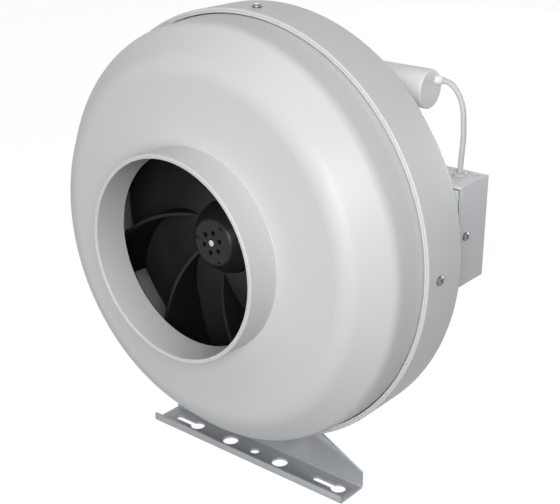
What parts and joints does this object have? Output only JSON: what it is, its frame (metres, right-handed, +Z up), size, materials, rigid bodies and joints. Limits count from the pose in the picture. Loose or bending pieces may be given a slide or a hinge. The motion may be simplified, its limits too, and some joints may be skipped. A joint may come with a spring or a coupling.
{
  "type": "inline duct fan",
  "caption": "Round inline duct fan: domed sheet casing with inlet and outlet spigots, external-rotor motor with backward-curved impeller, terminal box, capacitor and folded mounting foot.",
  "frame": {"origin": "on the underside of the foot, straight below the fan axis and the middle of the casing band", "axes": "+Y along the air flow from inlet to outlet, +Z up from the foot, +X to the side of the terminal box"},
  "size_m": [0.3452, 0.1776, 0.3755],
  "materials": {
    "grey_paint": "smooth semi-gloss powder coat",
    "box_paint": "smooth semi-gloss powder coat",
    "rotor_paint": "matt dark paint",
    "galvanised": "dull galvanised sheet",
    "steel": "bright zinc plate",
    "cast_aluminium": "as cast",
    "lamination": "varnished electrical steel",
    "winding": "enamelled copper wire",
    "brass": "bare",
    "black_plastic": "matt",
    "white_plastic": "satin",
    "pale_plastic": "smooth",
    "white_rubber": "smooth sheath",
    "dark_rubber": "smooth sheath"
  },
  "bodies": {
    "fan_body": {"front_casing": "grey_paint", "rear_casing": "grey_paint", "inlet_spigot": "grey_paint", "outlet_spigot": "grey_paint", "casing_screws": "steel", "casing_clip_nuts": "galvanised", "mounting_foot": "galvanised", "motor_support": "galvanised", "motor_support_screws": "steel", "motor_support_nuts": "steel", "motor_flange": "cast_aluminium", "motor_flange_screws": "steel", "stator_core": "lamination", "stator_windings": "winding", "front_bearing": "steel", "rear_bearing": "steel", "terminal_box_base": "box_paint", "terminal_box_cover": "box_paint", "terminal_box_screws": "steel", "terminal_box_rivets": "steel", "terminal_block": "white_plastic", "terminal_clamp_screws": "brass", "cable_gland": "black_plastic", "gland_locknut": "black_plastic", "motor_lead": "dark_rubber", "motor_lead_grommet": "dark_rubber", "capacitor_can": "pale_plastic", "capacitor_boss": "white_plastic", "capacitor_lead": "white_rubber", "lead_grommet": "white_rubber", "capacitor_clip": "galvanised", "capacitor_clip_screw": "steel"},
    "rotor": {"rotor_shaft": "steel", "shaft_circlip": "steel", "rotor_cup": "rotor_paint", "rotor_core": "lamination", "impeller": "black_plastic", "impeller_shroud": "black_plastic"}
  },
  "joints": [
    {"name": "impeller_spin", "type": "hinge", "parent": "fan_body", "child": "rotor", "pos_m": [0, 0, 0.203], "axis": [0, 1, 0], "continuous": true}
  ]
}
